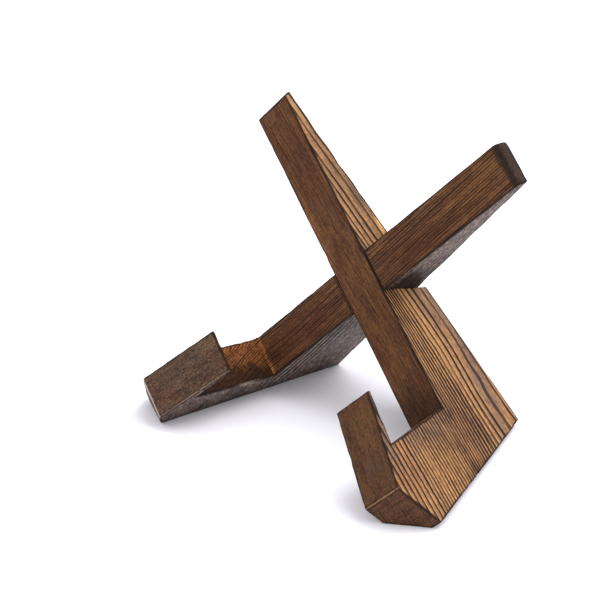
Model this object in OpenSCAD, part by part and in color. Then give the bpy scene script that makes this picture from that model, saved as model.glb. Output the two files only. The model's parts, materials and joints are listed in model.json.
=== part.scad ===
// Photo album stand: two hook-shaped boards that cross in a slotted X and lean back.
// Millimetres, +Z up, +Y to the back. The origin is on the table, in the middle of the
// stand's width and depth.

/* [Stand] */
// Angle from the table up to the plane that the album leans on, in degrees
lean = 73; // [70:0.5:76]
// Angle of each arm from the middle of the stand, in degrees
splay = 45; // [43:0.5:47]
// Distance up the leaning plane from the table to the crossing
crossing_height = 82.5; // [80:0.5:86]

/* [Board] */
// Thickness of the plank
board_t = 25; // [20:0.5:28]
// From the crossing up the arm to the front corner of its top end
arm_reach = 114.5; // [100:0.5:130]
// Depth of the arm at its top end, front to back
top_depth = 5.5; // [4:0.5:10]
// How far the back corner of the top end stands above its front corner
top_slant = 3; // [0:0.5:5]

/* [Seat and hook] */
// From the crossing down the arm to the corner where it meets the seat
seat_drop = 83; // [78:0.5:88]
// Depth of the seat, from the arm out to the lip
seat_depth = 50; // [44:1:54]
// How far the seat falls on its way out to the lip
seat_fall = 13; // [8:0.5:16]
// Height of the lip above the outer end of the seat
lip_height = 29.5; // [20:0.5:40]
// Thickness of the lip at its tip
lip_tip = 2; // [1.5:0.5:4]
// How far the lip's inner face leans in towards the arm
lip_lean = 2.5; // [0:0.5:5]
// From the crossing down to the lowest corner of the hook's front
hook_drop = 118.5; // [114:0.5:124]
// How far that corner stands out in front of the arm
hook_out = 61.5; // [58:0.5:66]

/* [Foot] */
// From the crossing down to the front corner of the foot
toe_drop = 140.5; // [136:0.5:144]
// How far the front corner of the foot stands out in front of the arm
toe_out = 42.5; // [36:0.5:48]
// From the crossing down to the back corner of the foot
heel_drop = 98.5; // [95:0.5:101]
// How far the back corner of the foot lies behind the arm's front edge
heel_depth = 59; // [50:0.5:62]

/* [Crossing joint] */
// Depth of the joint's floor behind the front edges of the arms
joint_depth = 17; // [14:0.5:20]
// Gap between a slot's wall and the board that sits in it
joint_play = 0.25; // [0.1:0.05:0.5]

/* [Hidden] */
left_colour = "#5a3f30";
right_colour = "#a87648";
// Larger than the stand, for blocks that have to reach right through it
beyond = 400;
lip_tip_height = lip_height - seat_drop - seat_fall;
// How far back from the foot of the leaning plane a corner of the board stands. The side
// is 1 for the upper face of the board and -1 for the lower one.
function set_back(back, up, side) = back * sin(lean)
    + (crossing_height + up * cos(splay) + side * board_t / 2 * sin(splay)) * cos(lean);
front_limit = set_back(-hook_out, -hook_drop, -1);
back_limit = max(set_back(heel_depth, -heel_drop, 1),
                 set_back(top_depth, arm_reach + top_slant, 1));
mid_depth = (front_limit + back_limit) / 2;

// A board's outline from the crossing, drawn as [distance behind the arm's front, height]
outline = [
    [0, arm_reach],
    [top_depth, arm_reach + top_slant],
    [heel_depth, -heel_drop],
    [-toe_out, -toe_drop],
    [-hook_out, -hook_drop],
    [-seat_depth + lip_lean - lip_tip, lip_tip_height],
    [-seat_depth + lip_lean, lip_tip_height],
    [-seat_depth, -seat_drop - seat_fall],
    [0, -seat_drop],
];

// Stands an upright plank on its thickness: drawn [back, up], centred across X
module plank(width) {
    rotate([90, 0, 90])
        linear_extrude(width, center = true)
            children();
}

// A whole board before its slot is cut, its arm turned away from upright by the angle
module uncut_board(turn) {
    rotate([0, turn, 0])
        plank(board_t)
            polygon(outline);
}

// The slot for a board turned by the angle, from the joint's floor out to the back or front
module slot(turn, to_back) {
    rotate([0, turn, 0])
        plank(board_t + 2 * joint_play)
            translate([to_back ? joint_depth : joint_depth - beyond, -beyond / 2])
                square([beyond, beyond]);
}

// Leans the crossing back onto its plane, and planes the feet flat on the table
module stand_on_table() {
    difference() {
        translate([0, -mid_depth, 0])
            rotate([lean - 90, 0, 0])
                translate([0, 0, crossing_height])
                    children();
        translate([-beyond / 2, -beyond / 2, -beyond])
            cube(beyond);
    }
}

// The board behind: its hook is on the left and its slot opens to the front
module left_hook_board() {
    color(left_colour)
        stand_on_table()
            difference() {
                uncut_board(splay);
                slot(-splay, to_back = false);
            }
}

// The board in front: its hook is on the right and its slot opens to the back
module right_hook_board() {
    color(right_colour)
        stand_on_table()
            difference() {
                uncut_board(-splay);
                slot(splay, to_back = true);
            }
}

left_hook_board();
right_hook_board();
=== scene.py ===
"""Looks of the photo album stand: two boards of scorched, brushed softwood that cross in an X."""

import json
import math

import bmesh
import bpy
import numpy as np
from mathutils import Matrix, Vector, noise


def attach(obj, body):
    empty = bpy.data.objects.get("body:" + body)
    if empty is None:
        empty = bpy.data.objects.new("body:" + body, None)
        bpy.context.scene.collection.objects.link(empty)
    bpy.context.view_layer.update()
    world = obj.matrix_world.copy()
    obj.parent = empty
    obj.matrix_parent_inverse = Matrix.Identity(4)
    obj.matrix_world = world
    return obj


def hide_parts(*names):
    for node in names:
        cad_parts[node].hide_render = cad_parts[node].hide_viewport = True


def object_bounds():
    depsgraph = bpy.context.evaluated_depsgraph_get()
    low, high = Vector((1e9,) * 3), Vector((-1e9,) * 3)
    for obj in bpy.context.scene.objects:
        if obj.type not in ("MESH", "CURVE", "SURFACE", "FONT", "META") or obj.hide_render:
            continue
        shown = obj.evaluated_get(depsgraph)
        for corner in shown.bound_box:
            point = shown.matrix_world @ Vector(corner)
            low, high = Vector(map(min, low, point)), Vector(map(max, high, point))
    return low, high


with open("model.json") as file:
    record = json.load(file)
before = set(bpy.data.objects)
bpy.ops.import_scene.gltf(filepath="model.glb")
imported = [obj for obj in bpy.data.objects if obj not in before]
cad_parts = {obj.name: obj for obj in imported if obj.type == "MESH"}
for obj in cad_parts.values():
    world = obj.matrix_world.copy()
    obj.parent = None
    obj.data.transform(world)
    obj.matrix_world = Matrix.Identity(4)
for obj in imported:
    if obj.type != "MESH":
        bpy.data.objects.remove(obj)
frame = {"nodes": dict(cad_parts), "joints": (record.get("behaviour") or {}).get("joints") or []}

cad_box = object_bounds()
MM = 0.001
UP = Vector((0, 0, 1))
FRONT = Vector(frame["joints"][0]["axis"]).normalized()  # out of the leaning plane

# ---------------------------------------------------------------- the boards' own directions


def whole_faces(node):
    """The CAD node's solid as a bmesh with one polygon for each flat face."""
    solid = bmesh.new()
    solid.from_mesh(frame["nodes"][node].data)
    bmesh.ops.remove_doubles(solid, verts=solid.verts, dist=0.01 * MM)
    bmesh.ops.dissolve_limit(
        solid, angle_limit=math.radians(1), verts=solid.verts, edges=solid.edges
    )
    bmesh.ops.recalc_face_normals(solid, faces=solid.faces)
    return solid


def largest_face(solid, wanted):
    """The largest face whose normal passes the test."""
    return max((f for f in solid.faces if wanted(f.normal)), key=lambda f: f.calc_area())


def board_axes(node):
    """A board's own directions and the planes that its coordinates are measured from.

    side points out of its upper side face, back out of its long back edge, and grain runs
    along that edge to the arm's top end. arm runs along the arm's front edge.
    """
    solid = whole_faces(node)
    upper = largest_face(solid, lambda n: abs(n.dot(FRONT)) < 0.01 and n.z > 0.3)
    rear = largest_face(solid, lambda n: n.dot(FRONT) < -0.9)
    strip = largest_face(solid, lambda n: n.dot(FRONT) > 0.999)
    side, back = upper.normal.copy(), rear.normal.copy()
    grain = side.cross(back).normalized()
    grain = grain if grain.z > 0 else -grain
    arm = side.cross(FRONT).normalized()
    arm = arm if arm.z > 0 else -arm
    reach = [v.co.dot(side) for v in solid.verts]
    axes = {
        "side": side,
        "back": back,
        "grain": grain,
        "arm": arm,
        "thickness": max(reach) - min(reach),
        "middle": (max(reach) + min(reach)) / 2,
        "back_plane": rear.verts[0].co.dot(back),
        "strip_plane": strip.verts[0].co.dot(FRONT),
    }
    solid.free()
    return axes


NODES = {"left": "left_hook_board", "right": "right_hook_board"}
axes = {hand: board_axes(node) for hand, node in NODES.items()}
# The crossing's centre, where both boards' middles meet in the plane of the arm fronts
crossing = Matrix(
    (axes["left"]["side"], axes["right"]["side"], FRONT)
).inverted() @ Vector(
    (axes["left"]["middle"], axes["right"]["middle"], axes["right"]["strip_plane"])
)


def local(points, own):
    """Board coordinates in mm: up the arm from the crossing, behind the arm's front, across
    the thickness, along the grain, and in from the back edge."""
    from_crossing = points - np.array(crossing)
    return {
        "up": from_crossing @ np.array(own["arm"]) / MM,
        "behind": from_crossing @ np.array(-FRONT) / MM,
        "across": from_crossing @ np.array(own["side"]) / MM,
        "along": from_crossing @ np.array(own["grain"]) / MM,
        "inward": (own["back_plane"] - points @ np.array(own["back"])) / MM,
    }


# ---------------------------------------------------------------- meshes

LOOKS = ["upper_side", "under_side", "strip", "hook_front", "seat", "sole", "top_end", "sawn"]
EASED = 0.9 * MM  # width of the eased arrises
WORN_TOP = {"left": 4.2 * MM, "right": 1.5 * MM}  # width of the top end's softened edges
CELL = {"inward": 2.6, "across": 2.1, "along": 5.0}  # mm, before the two subdivisions
SUBDIVISIONS = 2
SLOT_REACH = 14  # mm up and down the arm from the crossing, within which the joint was sawn


def look_of(face, own):
    """The name of a CAD face's look, from where it lies and where it points."""
    at = {k: float(v) for k, v in local(np.array(face.calc_center_median()), own).items()}
    n = face.normal
    n_up, n_behind = n.dot(own["arm"]), -n.dot(FRONT)
    if abs(n.dot(own["side"])) > 0.9:
        return "upper_side" if n.dot(own["side"]) > 0 else "under_side"
    if abs(at["up"]) < SLOT_REACH and at["behind"] > 1 and (abs(n_up) > 0.9 or at["inward"] > 5):
        return "sawn"
    if n_behind > 0.9 or (n_behind < -0.99 and abs(at["behind"]) < 1):
        return "strip"
    if n_behind < -0.9:
        return "hook_front"
    if n_up > 0.8:
        return "top_end" if at["up"] > 0 else "seat"
    return "sole"


def sharp_edges(solid):
    """The outer arrises: edges that stick out, away from the crossing joint's slot."""
    sawn = LOOKS.index("sawn")
    return [
        e for e in solid.edges
        if e.is_manifold and e.is_convex and e.calc_face_angle() > math.radians(25)
        and not any(f.material_index == sawn for f in e.link_faces)
    ]


def ease(solid, edges, width, segments, look=None):
    """Rounds the edges over. The rounding has its neighbours' looks unless it is given one."""
    bmesh.ops.bevel(
        solid, geom=edges, offset=width, offset_type="WIDTH", segments=segments,
        profile=0.5, affect="EDGES", clamp_overlap=True,
        material=LOOKS.index(look) if look else -1,
    )


def cut_into_cells(solid, own):
    """Slices the solid along its grain, across it and through its thickness."""
    directions = {"inward": own["back"], "across": own["side"], "along": own["grain"]}
    for name, direction in directions.items():
        step = CELL[name] * MM
        reach = [v.co.dot(direction) for v in solid.verts]
        for place in np.arange(min(reach) + step / 2, max(reach), step):
            everything = solid.verts[:] + solid.edges[:] + solid.faces[:]
            bmesh.ops.bisect_plane(
                solid, geom=everything, dist=0.02 * MM,
                plane_co=direction * place, plane_no=direction,
            )


def is_worn_top(edge):
    """Whether an edge of the arm's top end is at its front or at its upper side."""
    looks = {LOOKS[f.material_index] for f in edge.link_faces}
    front = any(f.normal.dot(FRONT) > 0.99 for f in edge.link_faces)
    return "top_end" in looks and (front or "upper_side" in looks)


def board_mesh(hand):
    """The board's outer skin, finely divided, with the arrises eased."""
    own = axes[hand]
    solid = whole_faces(NODES[hand])
    for face in solid.faces:
        face.material_index = LOOKS.index(look_of(face, own))
    arrises = [tuple(v.co.copy() for v in e.verts) for e in sharp_edges(solid)
               if hand == "right" or not is_worn_top(e)]
    ease(solid, [e for e in sharp_edges(solid) if is_worn_top(e)], WORN_TOP[hand], 4, "top_end")
    ease(solid, sharp_edges(solid), EASED, 2)
    cut_into_cells(solid, own)
    mesh = bpy.data.meshes.new(NODES[hand] + "_skin")
    solid.to_mesh(mesh)
    solid.free()
    return mesh, arrises


# ---------------------------------------------------------------- growth rings

# Distance in from the plank's back edge in mm, and the growth ring number reached there.
# Chosen to follow the ring spacing in the photograph
RING_MARKS = {
    "right": [(0, 0.3), (6.6, 1.5), (14, 2.5), (18.7, 3.5), (23.3, 4.5), (26.8, 5.5),
              (31.5, 7.5), (36.9, 10.5), (42.1, 13.5), (50, 17.3), (86, 32.3), (140, 48)],
    "left": [(0, 0.2), (9, 1.5), (20, 3), (30, 5), (33, 6), (44, 9.6), (70, 19), (140, 45)],
}
# mm from one dark line to the next on the faces that cut across the rings
CROSSWISE_WIDTH = 1.6
# Rings per mm across the thickness, counted from the upper side or from the under side
RING_SLANT = {"left": (1 / 1.45, "under"), "right": (-1 / 1.7, "upper")}


def smoothstep(low, high, x):
    """0 below low, 1 above high, smooth between them."""
    t = np.clip((x - low) / (high - low), 0, 1)
    return t * t * (3 - 2 * t)


def clouds(at, size, seed):
    """Smooth noise from about -1 to 1. size is (along, inward, across) in mm."""
    points = np.stack(
        (at["along"] / size[0], at["inward"] / size[1], at["across"] / size[2]), -1
    )
    shift = Vector((seed * 17.3, seed * 5.1, seed * 29.7))
    return np.array([noise.noise(Vector(p) + shift) for p in points])


def rings(at, hand, seed):
    """The growth ring number at each point. Its whole numbers are the earlywood's starts."""
    along, inward = at["along"], at["inward"]
    fan = 0.14 * smoothstep(12, 60, inward) * np.minimum(along + 16, 0)
    heel = smoothstep(-52, -98, along)
    heel = 3.6 * heel * smoothstep(3, 16, inward) * (1 - smoothstep(18, 38, inward))
    dip = 0.7 * np.exp(-(((along + 79) / 5) ** 2)) * (1 - smoothstep(9, 15, inward))
    bent = inward + fan - heel + dip
    bent = bent + 1.1 * clouds(at, (50, 40, 40), seed)
    bent = bent + 0.35 * clouds(at, (13, 9, 12), seed + 1)
    count = np.interp(np.clip(bent, 0, 139), *zip(*RING_MARKS[hand]))
    count = count + 0.5 * clouds(at, (90, 70, 3.5), seed + 2)
    slant, start = RING_SLANT[hand]
    half = axes[hand]["thickness"] / 2 / MM
    return count + slant * (at["across"] - (half if start == "upper" else -half))


def ring_width(inward, hand):
    """How wide the growth rings are, in mm, at a distance in from the back edge."""
    step = 2.0
    places, counts = zip(*RING_MARKS[hand])
    reach = np.interp(inward + step, places, counts) - np.interp(inward - step, places, counts)
    return 2 * step / np.maximum(reach, 0.1)


# ---------------------------------------------------------------- relief and wear


def edge_distance(points, arrises):
    """Distance in mm from each point to the nearest arris of the board."""
    nearest = np.full(len(points), 1e9)
    for start, end in arrises:
        a, b = np.array(start), np.array(end)
        t = np.clip((points - a) @ (b - a) / ((b - a) @ (b - a)), 0, 1)
        gap = np.linalg.norm(points - a - t[:, None] * (b - a), axis=1)
        nearest = np.minimum(nearest, gap / MM)
    return nearest


def relief(at, ring, edge, looks, seed):
    """How far in from the CAD surface each point lies, in mm: brushed grain and worn arrises."""
    brushed = np.zeros(len(ring))
    proud = 0.5 - 0.5 * np.cos(2 * np.pi * ring)  # the latewood stands proud
    for name, depth in (("upper_side", 0.2), ("under_side", 0.1), ("seat", 0.12)):
        brushed += looks[name] * depth * (1 - proud)
    chips = np.clip(clouds(at, (9, 4, 4), seed + 5) - 0.15, 0, None)
    worn = np.exp(-((edge / 1.3) ** 2)) * (0.1 + 0.7 * chips)
    dents = 0.25 * np.clip(clouds(at, (30, 14, 9), seed + 6), 0, None)
    return brushed + worn + dents * (1 - looks["sawn"])


def hollow(at):
    """How far in from the back plane the back edge lies, in mm: shallow dips up the arm."""
    dips = 0.5 - 0.5 * np.cos(2 * np.pi * (at["along"] - 50) / 23)
    upper = smoothstep(38, 50, at["along"]) * (1 - smoothstep(92, 104, at["along"]))
    return (0.75 * dips * upper + 0.12) * np.clip(1 - at["inward"] / 5, 0, 1)


def vertex_looks(mesh):
    """For each look, how much of each vertex belongs to its faces, from 0 to 1."""
    count = len(mesh.vertices)
    total = np.zeros(count)
    shares = {name: np.zeros(count) for name in LOOKS}
    for face in mesh.polygons:
        corners = list(face.vertices)
        total[corners] += 1
        shares[LOOKS[face.material_index]][corners] += 1
    return {name: share / np.maximum(total, 1) for name, share in shares.items()}


def store(mesh, name, values, kind="FLOAT"):
    """Keeps a value for each vertex, for the material to read."""
    layer = mesh.attributes.new(name, kind, "POINT")
    layer.data.foreach_set("value" if kind == "FLOAT" else "vector", values.ravel())


def subdivided(mesh, levels):
    """The mesh with every cell split in four, levels times, and no smoothing."""
    holder = bpy.data.objects.new("cells", mesh)
    bpy.context.scene.collection.objects.link(holder)
    split = holder.modifiers.new("split", "SUBSURF")
    split.subdivision_type = "SIMPLE"
    split.levels = levels
    depsgraph = bpy.context.evaluated_depsgraph_get()
    fine = bpy.data.meshes.new_from_object(holder.evaluated_get(depsgraph))
    bpy.data.objects.remove(holder)
    return fine


def make_board(hand, seed):
    """One finished board, riding on its CAD body in place of the CAD node."""
    own = axes[hand]
    coarse, arrises = board_mesh(hand)
    for look in LOOKS:
        coarse.materials.append(wood(hand, look))
    mesh = subdivided(coarse, SUBDIVISIONS)
    points = np.empty(len(mesh.vertices) * 3, np.float32)
    normals = np.empty(len(mesh.vertices) * 3, np.float32)
    mesh.vertices.foreach_get("co", points)
    mesh.vertices.foreach_get("normal", normals)
    points, normals = points.reshape(-1, 3).astype(float), normals.reshape(-1, 3)
    at = local(points, own)
    ring = rings(at, hand, seed)
    edge = edge_distance(points, arrises)
    depth = relief(at, ring, edge, vertex_looks(mesh), seed)
    flat_foot = normals[:, 2] < -0.97
    depth[flat_foot] = 0
    moved = points - normals * (depth * MM)[:, None]
    moved -= np.array(own["back"]) * (hollow(at) * MM)[:, None]
    moved[:, 2] = np.maximum(moved[:, 2], 0)
    mesh.vertices.foreach_set("co", moved.ravel())
    store(mesh, "ring", ring)
    store(mesh, "ring_width", ring_width(np.maximum(at["inward"], 3), hand))
    store(mesh, "edge", edge)
    other = axes["right" if hand == "left" else "left"]
    beside = np.abs(local(points, other)["across"]) - other["thickness"] / 2 / MM
    store(mesh, "beside_other", np.where(at["behind"] < 2, beside, 99))
    grain = np.stack((at["along"], at["inward"], at["across"]), -1)
    store(mesh, "grain", grain, "FLOAT_VECTOR")
    place = np.stack((at["up"], at["behind"], at["across"]), -1)
    store(mesh, "place", place, "FLOAT_VECTOR")
    mesh.shade_smooth()
    mesh.set_sharp_from_angle(angle=math.radians(50))
    piece = bpy.data.objects.new("board_" + hand, mesh)
    bpy.context.scene.collection.objects.link(piece)
    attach(piece, NODES[hand])
    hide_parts(NODES[hand])
    return piece


# ---------------------------------------------------------------- wood

STUDIO = 1.2  # the strength of the light from all round, which leaves only faint shadows
SUN_SHARE = 1.6  # the sun's strength beside it
SUN_TOWARD = (0.45, 0.35, 0.85)
SUN_SPREAD = 50  # degrees, for shadows with soft edges

# For each kind of face: colours as shown on screen, 0 to 255, and how strongly each feature
# shows. fibre is the size of the fibres in mm along the grain, in from the back edge and
# across the thickness. edge is the width of the scorching beside an arris. A zone is a mark's
# middle and half size, and the ring lines stay inside it.
PLAIN = {
    "early": (112, 74, 46), "mid": (86, 56, 36), "late": (40, 24, 15),
    "glint": (214, 138, 74), "worn": (150, 128, 108), "gold": (140, 94, 54),
    "gold_share": 0.3, "rust": (88, 44, 30), "rust_share": 0.4,
    # The grey colour is partly greyish wood and partly a painted sheen, the pale floor's light
    # reflected
    "grey_and_sheen": (96, 82, 74), "grey_and_sheen_share": 0.1, "line": 0.4, "glow": 0.0, "fibre": (45, 5, 0.9),
    "streak": 0.8, "fuzz": 0.6, "scorch": 0.3, "edge": 1.0, "shine": 0.08,
}
TONES = {
    "upper_side": {"early": (174, 128, 88), "mid": (142, 103, 71), "late": (42, 22, 12),
                   "glint": (250, 184, 112),
                   "gold": (206, 151, 94), "gold_share": 0.3, "rust": (134, 88, 62),
                   "grey_and_sheen": (112, 92, 82), "grey_and_sheen_share": 0.3, "line": 1.0, "glow": 0.75,
                   "fibre": (30, 0.9, 4), "streak": 0.6, "shine": 0.1},
    # The under side's greyish colours are in part a painted sheen: the pale floor's light reflected by
    # a face turned down towards it
    "under_side": {"early": (98, 78, 71), "mid": (78, 61, 55), "late": (30, 22, 19),
                   "worn": (172, 156, 140),
                   "gold": (160, 140, 128), "gold_share": 0.1, "rust": (92, 68, 60),
                   "grey_and_sheen": (118, 103, 99), "grey_and_sheen_share": 0.4, "fibre": (14, 2.4, 4),
                   "fuzz": 1.0, "line": 0.7, "glow": 0.7, "edge": 1.5, "shine": 0.1},
    "strip": {},
    "hook_front": {"gold": (118, 80, 40), "grey_and_sheen_share": 0.2, "line": 0.15, "streak": 0.6},
    "seat": {"early": (176, 110, 58), "mid": (132, 78, 42), "late": (36, 20, 12),
             "gold": (176, 108, 50), "line": 0.9, "fibre": (2, 1.5, 1.5), "scorch": 0.2},
    "sole": {"early": (98, 66, 50), "mid": (78, 52, 40), "late": (36, 22, 17),
             "line": 0.5, "fibre": (3, 2, 25)},
    "top_end": {"early": (67, 51, 40), "mid": (55, 42, 33), "late": (32, 25, 20),
                "gold": (94, 76, 60),
                "gold_share": 0.0, "rust_share": 0.1, "line": 0.1, "fibre": (1.5, 1.2, 1.2)},
    "sawn": {"early": (150, 104, 66), "mid": (120, 80, 50), "late": (84, 52, 32),
             "line": 0.6},
}
BOARD_TONES = {
    ("right", "hook_front"): {"early": (98, 68, 48), "mid": (76, 52, 37), "streak": 1.1,
                              "worn": (160, 122, 86), "fuzz": 0.8},
    ("left", "hook_front"): {"early": (94, 72, 58), "mid": (74, 57, 47), "late": (42, 31, 25),
                             "gold": (122, 96, 72), "rust": (100, 60, 46), "streak": 1.5,
                             "grey_and_sheen": (116, 106, 100), "grey_and_sheen_share": 0.35, "fuzz": 1.0},
    ("left", "strip"): {"early": (128, 86, 54), "line": 0.85, "rust": (88, 46, 30)},
    ("left", "under_side"): {"gold": (200, 182, 170), "line": 0.95, "glow": 0.85,
                             "zone": ((-56, 8, -12), (56, 13, 20))},
    ("left", "sole"): {"worn": (215, 198, 178)},
    ("right", "sole"): {"worn": (160, 122, 86)},
}
COLOURS = ["early", "mid", "late", "glint", "worn", "gold", "rust", "grey_and_sheen"]
SCORCHED_EDGE = (34, 21, 14)
# Near-black for scorching, also used as painted shade on some marks
BURNT_AND_SHADE = (26, 16, 11)
# Marks of their own on some faces: middle and half size in mm as (up the arm from the
# crossing, behind the arm's front, across the thickness), colour and strength. The colour is
# one of the face's own, or a near-black that is scorching on most marks and painted shade on some.
# Worn marks lie on top of everything, the near-black ones under them.
MARKS = {
    ("right", "upper_side"): [
        ((-120, -8, 12), (20, 28, 15), "gold", 0.4), ((-112, -48, 12), (15, 16, 15), "rust", 0.45),
         ((-45, 13, 12), (50, 15, 15), "gold", 0.6),
        ((29, 24.5, 12), (9, 3, 15), "glint", 0.8), ((-100, 6, 12), (30, 18, 15), "rust", 0.5),
        ((-90, -22, 12), (14, 30, 15), "grey_and_sheen", 0.6), ((-82, -54, 12), (34, 13, 15), "grey_and_sheen", 0.9),
        ((-20, 34, 12), (28, 14, 15), "grey_and_sheen", 0.5), ((52, 20, 12), (24, 6, 15), "grey_and_sheen", 0.9),
        ((72, 10, 12), (40, 12, 15), "mid", 0.7),
        ((-70, 42, 12), (50, 9, 15), "grey_and_sheen", 0.7),
        ((-123, 4, 12), (10, 16, 15), "burnt", 0.6), ((-78, 2, 12), (22, 7, 15), "burnt", 0.4),
    ],
    ("right", "strip"): [
        ((-82, 0, 0), (24, 9, 30), "burnt", 0.5), ((80, 0, 12.2), (28, 6, 1.0), "burnt", 0.9),
        ((34, 0, -12), (36, 4, 6), "gold", 0.7), ((75, 0, 3), (34, 4, 10), "rust", 0.5),
    ],
    ("left", "strip"): [
        ((-83, 0, 0), (2.8, 4, 40), "glint", 0.9), ((45, 0, -4), (32, 4, 10), "rust", 0.6),
        ((95, 0, 0), (30, 4, 20), "gold", 0.5), ((-50, 0, -2), (40, 4, 14), "rust", 0.7),
        ((112.2, 0, 0), (2.4, 5, 40), "burnt", 0.6),
    ],
    ("left", "top_end"): [((113, 0.6, 0), (2.2, 2.0, 40), "burnt", 0.6)],
    ("left", "seat"): [
        # The seat's dark front part: partly scorching and partly painted shadow
        ((-90, -25, -16), (60, 120, 21), "burnt", 0.85),
        ((-88, -16, -12.5), (9, 12, 1.2), "worn", 0.6),
    ],
    ("left", "under_side"): [
        # The first mark, near the crossing: partly dark wood and partly painted shade under the other
        # board's shoulder
        ((14, 14, -12), (30, 24, 20), "burnt", 0.95), ((66, 10, -12), (50, 14, 20), "grey_and_sheen", 0.6),
        ((-122, 10, -12), (30, 70, 20), "burnt", 0.7), ((-35, 25, -12), (40, 30, 20), "grey_and_sheen", 0.6),
        ((-100, 40, -12), (26, 30, 20), "burnt", 0.6),
        ((-128, -35, -12), (20, 30, 20), "burnt", 0.4),
        ((-89, -17, -12.5), (2.6, 10, 1.6), "worn", 0.65),
    ],
    ("left", "hook_front"): [
        # The first mark, a pale band along the arris at the under side: partly wear and partly a
        # painted highlight
        ((-92, -56, -12.5), (60, 30, 1.3), "worn", 0.7), ((-70, -50, 8), (14, 12, 8), "gold", 0.6),
        ((-108, -58, -4), (14, 12, 7), "rust", 0.6), ((-118.5, -61.5, 0), (1.2, 6, 30), "worn", 0.8),
    ],
    ("left", "sole"): [((-119, -61.5, 0), (4, 4, 30), "worn", 0.95)],
    ("right", "hook_front"): [
        ((-118.5, -61.5, 0), (0.7, 6, 30), "worn", 0.7), ((-80, -52, 4), (24, 12, 14), "gold", 0.4),
    ],
    ("right", "sole"): [((-118.5, -61.5, 0), (0.8, 0.8, 30), "worn", 0.7)],
}


def linear(colour):
    """A colour as it shows on screen in the studio's light, 0 to 255, as linear RGBA."""
    def channel(c):
        c = c / 255
        return (c / 12.92 if c <= 0.04045 else ((c + 0.055) / 1.055) ** 2.4) / STUDIO

    return tuple(channel(c) for c in colour) + (1.0,)


class Tree:
    """A material's nodes, with short ways to add and join them."""

    def __init__(self, name):
        self.material = bpy.data.materials.new(name)
        self.material.use_nodes = True
        self.nodes = self.material.node_tree.nodes
        self.links = self.material.node_tree.links
        self.nodes.clear()

    def add(self, kind, inputs=None, **settings):
        """A new node; inputs are values or other nodes' sockets."""
        made = self.nodes.new(kind)
        for name, value in settings.items():
            setattr(made, name, value)
        for name, value in (inputs or {}).items():
            if isinstance(value, bpy.types.NodeSocket):
                self.links.new(value, made.inputs[name])
            else:
                made.inputs[name].default_value = value
        return made

    def math(self, operation, a, b=0.0, c=0.0, clamp=False):
        """A math node's result."""
        return self.add("ShaderNodeMath", {0: a, 1: b, 2: c}, operation=operation,
                        use_clamp=clamp).outputs[0]

    def ramp(self, value, low, high, start=0.0, end=1.0):
        """value mapped smoothly from low..high to start..end."""
        return self.add("ShaderNodeMapRange", {"Value": value, "From Min": low,
                                               "From Max": high, "To Min": start,
                                               "To Max": end},
                        interpolation_type="SMOOTHSTEP").outputs["Result"]

    def mix(self, factor, a, b, blend="MIX"):
        """Two colours mixed."""
        made = self.add("ShaderNodeMix", data_type="RGBA", blend_type=blend)
        for socket, value in ((made.inputs[0], factor), (made.inputs[6], a),
                              (made.inputs[7], b)):
            if isinstance(value, bpy.types.NodeSocket):
                self.links.new(value, socket)
            else:
                socket.default_value = value
        return made.outputs[2]

    def attribute(self, name, output="Fac"):
        """A value kept on the mesh."""
        return self.add("ShaderNodeAttribute", attribute_name=name).outputs[output]

    def layer(self, under, mask, share, colour):
        """One colour laid over another where the mask is 1."""
        return self.mix(self.math("MULTIPLY", mask, share), under, colour)

    def spot(self, place, middle, size, blur):
        """1 in the middle of a mark and 0 outside it, with a blurred outline."""
        off = self.add("ShaderNodeVectorMath", {0: place, 1: middle}, operation="SUBTRACT")
        off = self.add("ShaderNodeVectorMath", {0: self.sized(off.outputs[0], size)},
                       operation="LENGTH").outputs["Value"]
        off = self.math("MULTIPLY_ADD", self.math("SUBTRACT", blur, 0.5), 1.6, off)
        return self.ramp(off, 1.0, 0.35)

    def sized(self, vector, size):
        """A position in mm as a noise position, for features of this size in mm."""
        return self.add("ShaderNodeVectorMath", {0: vector, 1: [1 / s for s in size]},
                        operation="MULTIPLY").outputs[0]

    def noise(self, vector, detail=2.0, roughness=0.5, shift=0.0):
        """Noise from about 0 to 1."""
        if shift:
            vector = self.add("ShaderNodeVectorMath", {0: vector, 1: (shift, shift, shift)},
                              operation="ADD").outputs[0]
        return self.add("ShaderNodeTexNoise", {"Vector": vector, "Scale": 1.0,
                                               "Detail": detail, "Roughness": roughness}
                        ).outputs["Fac"]


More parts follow.
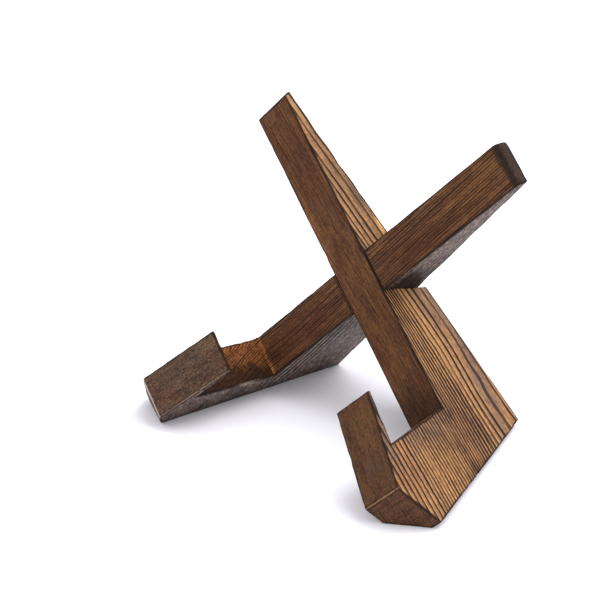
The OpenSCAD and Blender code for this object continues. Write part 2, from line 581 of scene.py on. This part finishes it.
def ring_lines(t, tone, grain, crosswise):
    """Where the dark latewood lines are, and the bright wood beside them.

    crosswise is for the faces that cut across the rings, where the lines are finer.
    """
    ring = t.attribute("ring")
    number = t.add("ShaderNodeTexWhiteNoise", {"W": t.math("FLOOR", ring)},
                   noise_dimensions="1D").outputs["Value"]
    width = CROSSWISE_WIDTH if crosswise else t.attribute("ring_width")
    beside = t.math("MULTIPLY", t.math("SUBTRACT", 0.5, t.math("FRACT", ring)), width)
    off_line = t.math("ABSOLUTE", beside)
    ragged = t.noise(t.sized(grain, (7, 0.9, 0.9)), 3.0, 0.6)
    half = t.math("MULTIPLY_ADD", number, 0.16, 0.40) if crosswise else (
        t.math("MULTIPLY_ADD", width, 0.085, t.math("MULTIPLY_ADD", number, 0.16, 0.36)))
    half = t.math("MULTIPLY_ADD", t.math("SUBTRACT", ragged, 0.5), 0.6, half)
    line = t.ramp(t.math("DIVIDE", off_line, half), 1.2, 0.8)
    patchy = t.ramp(t.noise(t.sized(grain, (24, 6, 6)), 2.0, 0.5), 0.35, 0.5, 0.75, 1.0)
    least = 0.45 if crosswise else 0.85
    strength = t.math("MULTIPLY_ADD", number, 1.1 - least, least, clamp=True)
    strength = t.math("MULTIPLY", strength, patchy)
    line = t.math("MULTIPLY", line, t.math("MULTIPLY", strength, tone["line"]))
    glow = t.math("MULTIPLY", t.ramp(beside, 2.6, 0.8), t.ramp(beside, 0.2, 0.7))
    glow = t.math("MULTIPLY", glow, tone["glow"])
    if "zone" in tone:
        zone = t.spot(t.attribute("place", "Vector"), *tone["zone"], ragged)
        line, glow = t.math("MULTIPLY", line, zone), t.math("MULTIPLY", glow, zone)
    return line, glow


def wood(hand, look):
    """Scorched and brushed softwood, as it shows on one kind of face."""
    tone = {**PLAIN, **TONES[look], **BOARD_TONES.get((hand, look), {})}
    t = Tree(f"{hand}_{look}")
    grain, edge = t.attribute("grain", "Vector"), t.attribute("edge")
    crosswise = look not in ("upper_side", "under_side")
    line, glow = ring_lines(t, tone, grain, crosswise)
    # Fine fibres and pores, drawn out along the grain
    size = tone["fibre"]
    fibre = t.noise(t.sized(grain, size), 3.0, 0.6)
    hair = t.noise(t.sized(grain, (size[0] * 0.35, size[1] * 0.8, size[2] * 0.8)), 3.0, 0.65, 2.9)
    fuzz = t.noise(t.sized(grain, (2.2, 0.8, 0.8)), 3.0, 0.7)
    # Broad patches of gold, rust and grey, and clouds of scorching
    patch = t.noise(t.sized(grain, (26, 11, 9)), 3.0, 0.6)
    other = t.noise(t.sized(grain, (19, 9, 7)), 3.0, 0.6, 1.7)
    cloud = t.noise(t.sized(grain, (34, 16, 12)), 4.0, 0.65, 4.1)
    colours = {k: linear(tone[k]) for k in COLOURS}
    body = t.mix(t.ramp(fibre, 0.36, 0.64), colours["mid"], colours["early"])
    body = t.layer(body, t.ramp(patch, 0.46, 0.62), tone["gold_share"], colours["gold"])
    body = t.layer(body, t.ramp(other, 0.48, 0.60), tone["rust_share"], colours["rust"])
    # Clouds of grey, in part a painted sheen
    body = t.layer(body, t.ramp(cloud, 0.46, 0.34), tone["grey_and_sheen_share"], colours["grey_and_sheen"])
    body = t.mix(glow, body, colours["gold"])
    place = t.attribute("place", "Vector")
    marks = MARKS.get((hand, look), ())
    for middle, reach, colour, share in (m for m in marks if m[2] in tone and m[2] != "worn"):
        body = t.layer(body, t.spot(place, middle, reach, other), share, colours[colour])
    body = t.layer(body, t.ramp(cloud, 0.52, 0.66), tone["scorch"], colours["late"])
    body = t.layer(body, t.ramp(hair, 0.50, 0.64), 0.45 * tone["streak"], colours["late"])
    body = t.layer(body, t.ramp(hair, 0.48, 0.36), 0.3 * tone["streak"], colours["gold"])
    body = t.layer(body, t.ramp(fuzz, 0.50, 0.62), 0.7 * tone["fuzz"], colours["late"])
    body = t.layer(body, t.ramp(fuzz, 0.46, 0.36), 0.5 * tone["fuzz"], colours["gold"])
    body = t.mix(line, body, colours["late"])
    # Near-black marks: scorching, and on some marks painted shade
    for middle, reach, _, share in (m for m in marks if m[2] == "burnt"):
        body = t.layer(body, t.spot(place, middle, reach, other), share, linear(BURNT_AND_SHADE))
    frayed = t.math("MULTIPLY_ADD", t.math("SUBTRACT", other, 0.5), 2.5, edge)
    wide = tone["edge"]
    body = t.layer(body, t.ramp(frayed, 1.5 * wide, 0.6 * wide), 0.9, linear(SCORCHED_EDGE))
    if (hand, look) == ("left", "strip"):
        # A dark band on the strip, close beside where the other board crosses it
        dark_beside_other_board = t.ramp(t.attribute("beside_other"), 1.4, 0.6)
        body = t.layer(body, dark_beside_other_board, 0.95, linear(SCORCHED_EDGE))
    for middle, reach, _, share in (m for m in marks if m[2] == "worn"):
        body = t.layer(body, t.spot(place, middle, reach, fuzz), share, colours["worn"])
    # Brushed relief finer than the mesh
    height = t.math("MULTIPLY_ADD", line, 0.6, t.math("MULTIPLY", hair, 0.9))
    height = t.math("MULTIPLY_ADD", fuzz, 0.5, height)
    bump = t.add("ShaderNodeBump", {"Height": height, "Strength": 0.7,
                                    "Distance": 0.25 * MM}).outputs["Normal"]
    shader = t.add("ShaderNodeBsdfPrincipled", {
        "Base Color": body, "Roughness": t.ramp(fibre, 0.3, 0.7, 0.62, 0.46), "Normal": bump,
        "Specular IOR Level": tone["shine"],
    })
    out = t.add("ShaderNodeOutputMaterial")
    t.links.new(shader.outputs[0], out.inputs["Surface"])
    return t.material


# ---------------------------------------------------------------- camera, floor and light

# Degrees, millimetres of lens, and metres. A least-squares fit of the view to the stand's
# corners in the photograph gave these seven values
CAMERA = {"azimuth": 44.68, "elevation": 25.16, "roll": -3.76, "lens": 90.55,
          "distance": 0.7963, "aim_right": -0.01533, "aim_up": -0.00362}


def make_camera():
    """The camera, aimed a little to one side of the stand's middle."""
    azimuth, elevation = math.radians(CAMERA["azimuth"]), math.radians(CAMERA["elevation"])
    back = Vector((math.sin(azimuth) * math.cos(elevation),
                   -math.cos(azimuth) * math.cos(elevation), math.sin(elevation)))
    right = (-back).cross(UP).normalized()
    up = back.cross(right)
    middle = (cad_box[0] + cad_box[1]) / 2
    aim = middle + right * CAMERA["aim_right"] + up * CAMERA["aim_up"]
    roll = Matrix.Rotation(math.radians(CAMERA["roll"]), 3, back)
    turn = Matrix((roll @ right, roll @ up, back)).transposed()
    data = bpy.data.cameras.new("camera")
    data.lens = CAMERA["lens"]
    data.sensor_width = 36
    camera = bpy.data.objects.new("camera", data)
    camera.matrix_world = Matrix.Translation(aim + back * CAMERA["distance"]) @ turn.to_4x4()
    bpy.context.scene.collection.objects.link(camera)
    bpy.context.scene.camera = camera


def make_floor():
    """A wide pale floor, level with the feet."""
    half = 20.0  # metres, so that its edge stays out of every view
    mesh = bpy.data.meshes.new("floor")
    mesh.from_pydata([(-half, -half, 0), (half, -half, 0), (half, half, 0), (-half, half, 0)],
                     [], [(0, 1, 2, 3)])
    floor = bpy.data.objects.new("floor", mesh)
    bpy.context.scene.collection.objects.link(floor)
    t = Tree("floor")
    shader = t.add("ShaderNodeBsdfPrincipled", {"Base Color": (0.87, 0.86, 0.92, 1),
                                                "Roughness": 0.9,
                                                "Specular IOR Level": 0.1})
    out = t.add("ShaderNodeOutputMaterial")
    t.links.new(shader.outputs[0], out.inputs["Surface"])
    mesh.materials.append(t.material)


def make_sun(toward, spread, strength):
    """Soft white light from one side, the same everywhere. spread is how wide it looks, in degrees."""
    data = bpy.data.lights.new("key", "SUN")
    data.angle = math.radians(spread)
    data.energy = strength
    lamp = bpy.data.objects.new("key", data)
    lamp.rotation_euler = Vector(toward).to_track_quat("Z", "Y").to_euler()
    bpy.context.scene.collection.objects.link(lamp)


def make_world(strength):
    """Even white light from all round."""
    world = bpy.data.worlds.new("studio")
    world.use_nodes = True
    background = world.node_tree.nodes["Background"]
    background.inputs["Color"].default_value = (1, 1, 1, 1)
    background.inputs["Strength"].default_value = strength
    bpy.context.scene.world = world


make_camera()
bpy.context.scene.view_settings.view_transform = "Standard"
make_floor()
make_world(STUDIO)
make_sun(SUN_TOWARD, SUN_SPREAD, SUN_SHARE * STUDIO)
make_board("left", 3)
make_board("right", 8)
